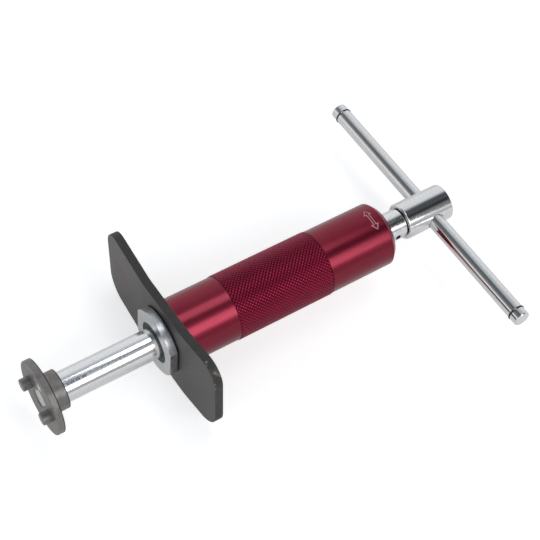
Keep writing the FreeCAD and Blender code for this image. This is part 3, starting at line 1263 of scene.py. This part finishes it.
@dataclass
class Adaptor:
    """The disc and hub that fit the piston, with two drive pins."""

    disc: float = 3.6
    hub_radius: float = 10.0
    bore: float = 7.3
    flat_half: float = 4.45
    flat_turn: float = -55.0
    round_length: float = 2.9
    pin_pitch: float = 10.1
    pin_turn: float = 2.5
    pin_radius: float = 3.15
    shank_radius: float = 2.5
    pin_out: float = 4.4
    undercut: float = 0.5
    edge: float = 0.45
    rear_edge: float = 0.3
    # The width of the strip of painted shade along the rear edges of the disc and the hub.
    shade_line: float = 0.55
    pin_edge: float = 0.45

    def build(self) -> None:
        """Turn the body, bore it through and set the two pins."""
        body = Extent.of("adaptor_body")
        self.hub_end = body.end
        pilot = self.flat_half / 2
        shape = Shape.turned(
            [
                (0.0, pilot),
                (0.0, body.radius),
                (self.disc - self.shade_line, body.radius),
                (self.disc, body.radius),
                (self.disc, self.hub_radius - self.undercut),
                (self.disc + self.undercut, self.hub_radius - self.undercut),
                (self.disc + self.undercut, self.hub_radius),
                (body.end - self.shade_line, self.hub_radius),
                (body.end, self.hub_radius),
                (body.end, pilot),
            ]
        )
        past_hub = self.hub_radius + NEAR
        shape.soften(self.edge, 4, chosen=lambda at: at.x < NEAR and at.yz.length > past_hub)
        for behind, outside in ((self.disc / 2, past_hub), (body.end - NEAR, self.bore)):
            shape.soften(
                self.rear_edge, 3, chosen=lambda at: at.x > behind and at.yz.length > outside
            )
        flats_end = body.end - self.round_length
        keyed = Shape.rod(-AXIS * PAST, AXIS * (flats_end + PAST), self.bore, steps=96)
        for side in (-1.0, 1.0):
            out = around(self.flat_turn + 90.0, side)
            keyed.trim(out * self.flat_half, out)
        shape.carve(keyed)
        shape.carve(Shape.rod(AXIS * flats_end, AXIS * (body.end + PAST), self.bore, steps=96))
        turns = {"drive_pin_far": self.pin_turn, "drive_pin_near": self.pin_turn + 180.0}
        for turn in turns.values():
            start, end = (around(turn, self.pin_pitch, x) for x in (-PAST, self.disc))
            shape.carve(Shape.rod(start, end, self.shank_radius))
        # Painted shade along the rear edges, and painted light on the bore's wall.
        shape.smooth().paint(EDGE_SHADE_AND_CHIPS, self.on_shaded_edge).paint(LIT_FACE, self.in_bore)
        shape.dress("adaptor_disc", GREY_SINTER, "adaptor", "adaptor_body")
        for node, turn in turns.items():
            pin = Shape.turned(
                [
                    (-self.pin_out, 0.0),
                    (-self.pin_out, self.pin_radius),
                    (0.0, self.pin_radius),
                    (0.0, self.shank_radius),
                    (self.disc, self.shank_radius),
                    (self.disc, 0.0),
                ],
                closed=False,
                steps=48,
            )
            pin.soften(self.pin_edge, 4, chosen=lambda at: at.x < -NEAR)
            # The pins' front faces get painted light.
            pin.smooth().paint(LIT_FACE, lambda face: face.normal.x < -FACING)
            pin.move(Matrix.Translation(around(turn, self.pin_pitch)))
            pin.dress(node.replace("drive_pin", "round_pin"), DARK_PIN, "adaptor", node)

    def on_shaded_edge(self, face: bmesh.types.BMFace) -> bool:
        """Tell whether a face is on the rear edge of the disc or of the hub, where shade is
        painted.

        Args:
            face: A face of the turned body.

        Returns:
            Whether it is.
        """
        middle = face.calc_center_median()
        at_disc = self.disc - self.shade_line < middle.x < self.disc + self.undercut + TOUCHING
        at_end = middle.x > self.hub_end - self.shade_line
        outside = middle.yz.length > self.hub_radius - self.undercut - NEAR
        return (at_disc or at_end) and outside and face.normal.x < FACING

    def in_bore(self, face: bmesh.types.BMFace) -> bool:
        """Tell whether a face is on the wall of the bore, which is painted lighter against its
        shade.
        """
        middle = face.calc_center_median()
        return middle.yz.length < self.bore + TOUCHING and abs(face.normal.x) < NEAR


@dataclass
class Handle:
    """The head on the spindle and the tommy bar that slides in it."""

    rod_radius: float = 7.75
    recess: float = 1.6
    recess_radius: float = 8.6
    rounding: float = 0.9
    bar_from_front: float = 16.95
    bar_radius: float = 4.45
    bar_half: float = 80.8
    bar_turn: float = -1.8
    bar_end_edge: float = 0.7
    bar_fit: float = 0.22
    ring_from_end: float = 5.0
    ring_width: float = 1.1
    ring_depth: float = 0.8
    ring_proud: float = 0.35
    ring_gap: float = 30.0
    grub_radius: float = 2.0
    grub_from_front: float = 5.2
    grub_turn: float = -62.0

    def build(self) -> None:
        """Make the head, the bar and its two snap rings."""
        self.extent = Extent.of("handle_head")
        self.bar_x = self.extent.start + self.bar_from_front
        self.make_head()
        self.make_bar()
        self.make_rings()
        coat_nodes(SPRING_STEEL, "head_grub_screw")

    def across(self) -> Matrix:
        """Lay a shape built along X into the place of the bar."""
        quarter = Matrix.Rotation(math.radians(90.0), 4, "Z")
        return about_axis(self.bar_turn) @ Matrix.Translation(AXIS * self.bar_x) @ quarter

    def make_head(self) -> None:
        """Turn the head, round it and drill it."""
        start, end, radius = self.extent.start, self.extent.end, self.extent.radius
        socket = Extent.of("spindle_rod").end
        head = Shape.turned(
            [
                (start + self.recess, self.rod_radius),
                (start + self.recess, self.recess_radius),
                (start, self.recess_radius),
                (start, radius),
                (end, radius),
                (end, 0.0),
                (socket, 0.0),
                (socket, self.rod_radius),
            ]
        )
        head.soften(self.rounding, 5, chosen=lambda at: abs(at.yz.length - radius) < TOUCHING)
        along = around(self.bar_turn)
        middle = AXIS * self.bar_x
        reach = along * (radius + 2 * PAST)
        bar_bore = self.bar_radius + self.bar_fit
        head.carve(Shape.rod(middle - reach, middle + reach, bar_bore, steps=96))
        out = around(self.grub_turn)
        foot = AXIS * (start + self.grub_from_front) + out * (self.rod_radius - PAST)
        wall = radius - self.rod_radius
        head.carve(Shape.rod(foot, foot + out * (wall + 2 * PAST), self.grub_radius))
        head.smooth().dress("round_head", BRIGHT_HEAD, "spindle", "handle_head")

    def make_bar(self) -> None:
        """Turn the bar with its two ring grooves."""
        radius, half = self.bar_radius, self.bar_half
        low = radius - self.ring_depth
        profile = [(-half, 0.0), (-half, radius)]
        for side in (-1, 1):
            ring = side * (half - self.ring_from_end)
            near, far = ring - self.ring_width / 2, ring + self.ring_width / 2
            profile += [(near, radius), (near, low), (far, low), (far, radius)]
        profile += [(half, radius), (half, 0.0)]
        bar = Shape.turned(profile, closed=False, steps=72)
        bar.soften(self.bar_end_edge, 4, chosen=lambda at: abs(at.x) > half - NEAR)
        end_at = half - TOUCHING
        bar.smooth().paint(TURNED_END, lambda face: abs(face.calc_center_median().x) > end_at)
        bar.move(self.across()).dress("sliding_bar", BRIGHT_BAR, "bar", "tommy_bar")

    def make_rings(self) -> None:
        """Spin the two open snap rings in their grooves."""
        rings = Shape()
        inner, outer = self.bar_radius - self.ring_depth, self.bar_radius + self.ring_proud
        middle, thick = (inner + outer) / 2, (outer - inner) / 2
        sweep = math.radians(360.0 - self.ring_gap)
        for side in (-1, 1):
            x = side * (self.bar_half - self.ring_from_end)
            wire = bmesh.ops.create_circle(
                rings.mesh,
                cap_ends=True,
                segments=12,
                radius=1.0,
                matrix=Matrix.Translation((x, 0.0, middle))
                @ Matrix.Diagonal((self.ring_width / 2, 1.0, thick, 1.0))
                @ Matrix.Rotation(math.radians(90.0), 4, "X"),
            )["verts"]
            section = list({f for v in wire for f in v.link_faces})
            bmesh.ops.spin(
                rings.mesh,
                geom=section,
                cent=(0.0, 0.0, 0.0),
                axis=AXIS,
                dvec=(0.0, 0.0, 0.0),
                angle=sweep,
                steps=48,
                use_merge=False,
                use_duplicate=False,
            )
        bmesh.ops.recalc_face_normals(rings.mesh, faces=rings.mesh.faces)
        rings.smooth().move(self.across()).dress("snap_rings", DARK_RING, "bar", "bar_snap_rings")


@dataclass(frozen=True)
class SoftBox:
    """A rectangular studio lamp that faces the tool."""

    name: str
    toward: Vector
    width: float
    height: float
    radiance: float
    distance: float = 1.2

    def build(self, target: Vector) -> None:
        """Hang the lamp.

        Args:
            target: The point that it faces.
        """
        lamp = bpy.data.lights.new(self.name, "AREA")
        lamp.shape = "RECTANGLE"
        lamp.size = self.width
        lamp.size_y = self.height
        lamp.energy = LAMP_POWER * self.radiance * self.width * self.height
        holder = bpy.data.objects.new(self.name, lamp)
        away = self.toward.normalized()
        holder.location = target + away * self.distance
        holder.rotation_mode = "QUATERNION"
        holder.rotation_quaternion = away.to_track_quat("Z", "Y")
        bpy.context.scene.collection.objects.link(holder)


@dataclass(frozen=True)
class DarkCard:
    """A soft round patch of the room that is darker than the rest."""

    toward: Vector
    inner_degrees: float
    outer_degrees: float
    share: float

    def build(self, wiring: Wiring, place: Socket) -> Socket:
        """Add the nodes of the patch.

        Args:
            wiring: The room's nodes.
            place: The socket with the direction.

        Returns:
            The socket with the factor by which the room's light is kept.
        """
        feeds = {0: place, 1: self.toward.normalized()}
        nearness = wiring.add("VectorMath", feeds, operation="DOT_PRODUCT").outputs["Value"]
        outer = math.cos(math.radians(self.outer_degrees))
        inner = math.cos(math.radians(self.inner_degrees))
        return wiring.spread(
            nearness, (outer, inner), (1.0, self.share), interpolation_type="SMOOTHSTEP"
        )


@dataclass
class Studio:
    """The floor, the lamps, the pale room and the camera."""

    camera_place: Vector = Vector((-118.75, -312.18, 578.33))
    camera_right: Vector = Vector((0.84101, -0.53672, 0.06813))
    camera_forward: Vector = Vector((0.35519, 0.45276, -0.81783))
    focal_mm: float = 94.2
    floor_half: float = 4.0
    floor_colour: float = 0.8
    floor_glow: float = 0.58
    floor_shine: float = 0.18
    floor_roughness: float = 0.9
    floor_specular: float = 0.1
    ceiling_blue: float = 0.11
    lamps: tuple[SoftBox, ...] = (
        SoftBox("side_lamp", Vector((0.27, -0.79, 0.617)), 0.61, 0.57, 2.15),
        SoftBox("top_lamp", Vector((0.28, 0.045, 0.95)), 0.50, 0.32, 2.1),
    )
    cards: tuple[DarkCard, ...] = (
        DarkCard(Vector((0.62, -0.1, 0.78)), 16.0, 32.0, 0.15),
        DarkCard(Vector((0.62, -0.52, 0.62)), 13.0, 27.0, 0.25),
        DarkCard(Vector((0.30, -0.94, 0.14)), 6.0, 18.0, 0.5),
        DarkCard(Vector((-0.5, 0.3, 0.81)), 14.0, 38.0, 0.22),
    )

    def build(self) -> None:
        """Set up everything that isn't part of the tool."""
        low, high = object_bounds()
        middle = (low + high) / 2
        self.make_floor(low.z)
        for lamp in self.lamps:
            lamp.build(middle)
        self.make_room()
        self.make_camera()
        settings = bpy.context.scene.view_settings
        settings.view_transform = "Standard"

    def make_camera(self) -> None:
        """Place the camera where the photograph was taken."""
        data = bpy.data.cameras.new("camera")
        data.sensor_width = 36.0
        data.lens = self.focal_mm
        data.clip_start = 0.05
        data.clip_end = 50.0
        camera = bpy.data.objects.new("camera", data)
        right = self.camera_right.normalized()
        back = -self.camera_forward.normalized()
        up = back.cross(right).normalized()
        turn = Matrix((right, up, back)).transposed().to_4x4()
        camera.matrix_world = Matrix.Translation(self.camera_place * MM) @ turn
        bpy.context.scene.collection.objects.link(camera)
        bpy.context.scene.camera = camera

    def make_floor(self, height: float) -> None:
        """Lay the pale floor under the tool.

        Args:
            height: The lowest point of the tool.
        """
        floor = Shape()
        bmesh.ops.create_grid(floor.mesh, x_segments=1, y_segments=1, size=self.floor_half)
        bmesh.ops.translate(floor.mesh, verts=floor.mesh.verts, vec=(0.0, 0.0, height))
        plane = floor.as_object("floor")
        paint = bpy.data.materials.new("floor_paint")
        paint.use_nodes = True
        wiring = Wiring(paint.node_tree)
        rays = wiring.add("LightPath", {}).outputs
        feeds = {0: rays["Is Glossy Ray"], 1: self.floor_shine}
        shine = wiring.add("Math", feeds, operation="MULTIPLY").outputs[0]
        feeds = {0: rays["Is Camera Ray"], 1: self.floor_glow, 2: shine}
        feeds = {
            "Base Color": (*(self.floor_colour,) * 3, 1.0),
            "Roughness": self.floor_roughness,
            "Specular IOR Level": self.floor_specular,
            "Emission Color": (*WHITE, 1.0),
            "Emission Strength": wiring.add("Math", feeds, operation="MULTIPLY_ADD").outputs[0],
        }
        wiring.feed(paint.node_tree.nodes["Principled BSDF"], feeds)
        plane.data.materials.append(paint)
        plane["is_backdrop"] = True

    def make_room(self) -> None:
        """Light the scene with pale walls, a darker ceiling and the dark cards."""
        world = bpy.data.worlds.new("room")
        bpy.context.scene.world = world
        world.use_nodes = True
        wiring = Wiring(world.node_tree)
        place = wiring.add("TexCoord", {}).outputs["Generated"]
        up = wiring.add("SeparateXYZ", {0: place}).outputs["Z"]
        ramp = wiring.add("ValToRGB", {"Fac": up})
        ramp.color_ramp.interpolation = "EASE"
        shades = {0.0: 0.85, 0.45: 0.84, 0.72: 0.80, 0.86: 0.55, 1.0: 0.36}
        stops = ramp.color_ramp.elements
        while len(stops) < len(shades):
            stops.new(0.5)
        for stop, (height, shade) in zip(stops, shades.items()):
            cool = self.ceiling_blue * height**3
            stop.position = height
            stop.color = (shade * (1.0 - cool), shade, shade * (1.0 + cool), 1.0)
        light = ramp.outputs["Color"]
        for card in self.cards:
            feeds = {0: light, 1: card.build(wiring, place)}
            light = wiring.add("VectorMath", feeds, operation="MULTIPLY").outputs[0]
        seen = wiring.add("LightPath", {}).outputs["Is Camera Ray"]
        # What the camera sees of the room is plain white.
        behind = wiring.mixed(seen, light, WHITE)
        wiring.feed(world.node_tree.nodes["Background"], {"Color": behind})


def main() -> None:
    """Build the tool around the frame, then the studio."""
    logging.basicConfig(level=logging.INFO, format="%(name)s %(message)s")
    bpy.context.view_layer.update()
    Grip().build()
    Gland().build()
    PressPlate().build()
    Spindle().build()
    Adaptor().build()
    Handle().build()
    Studio().build()


if __name__ == "__main__":
    main()
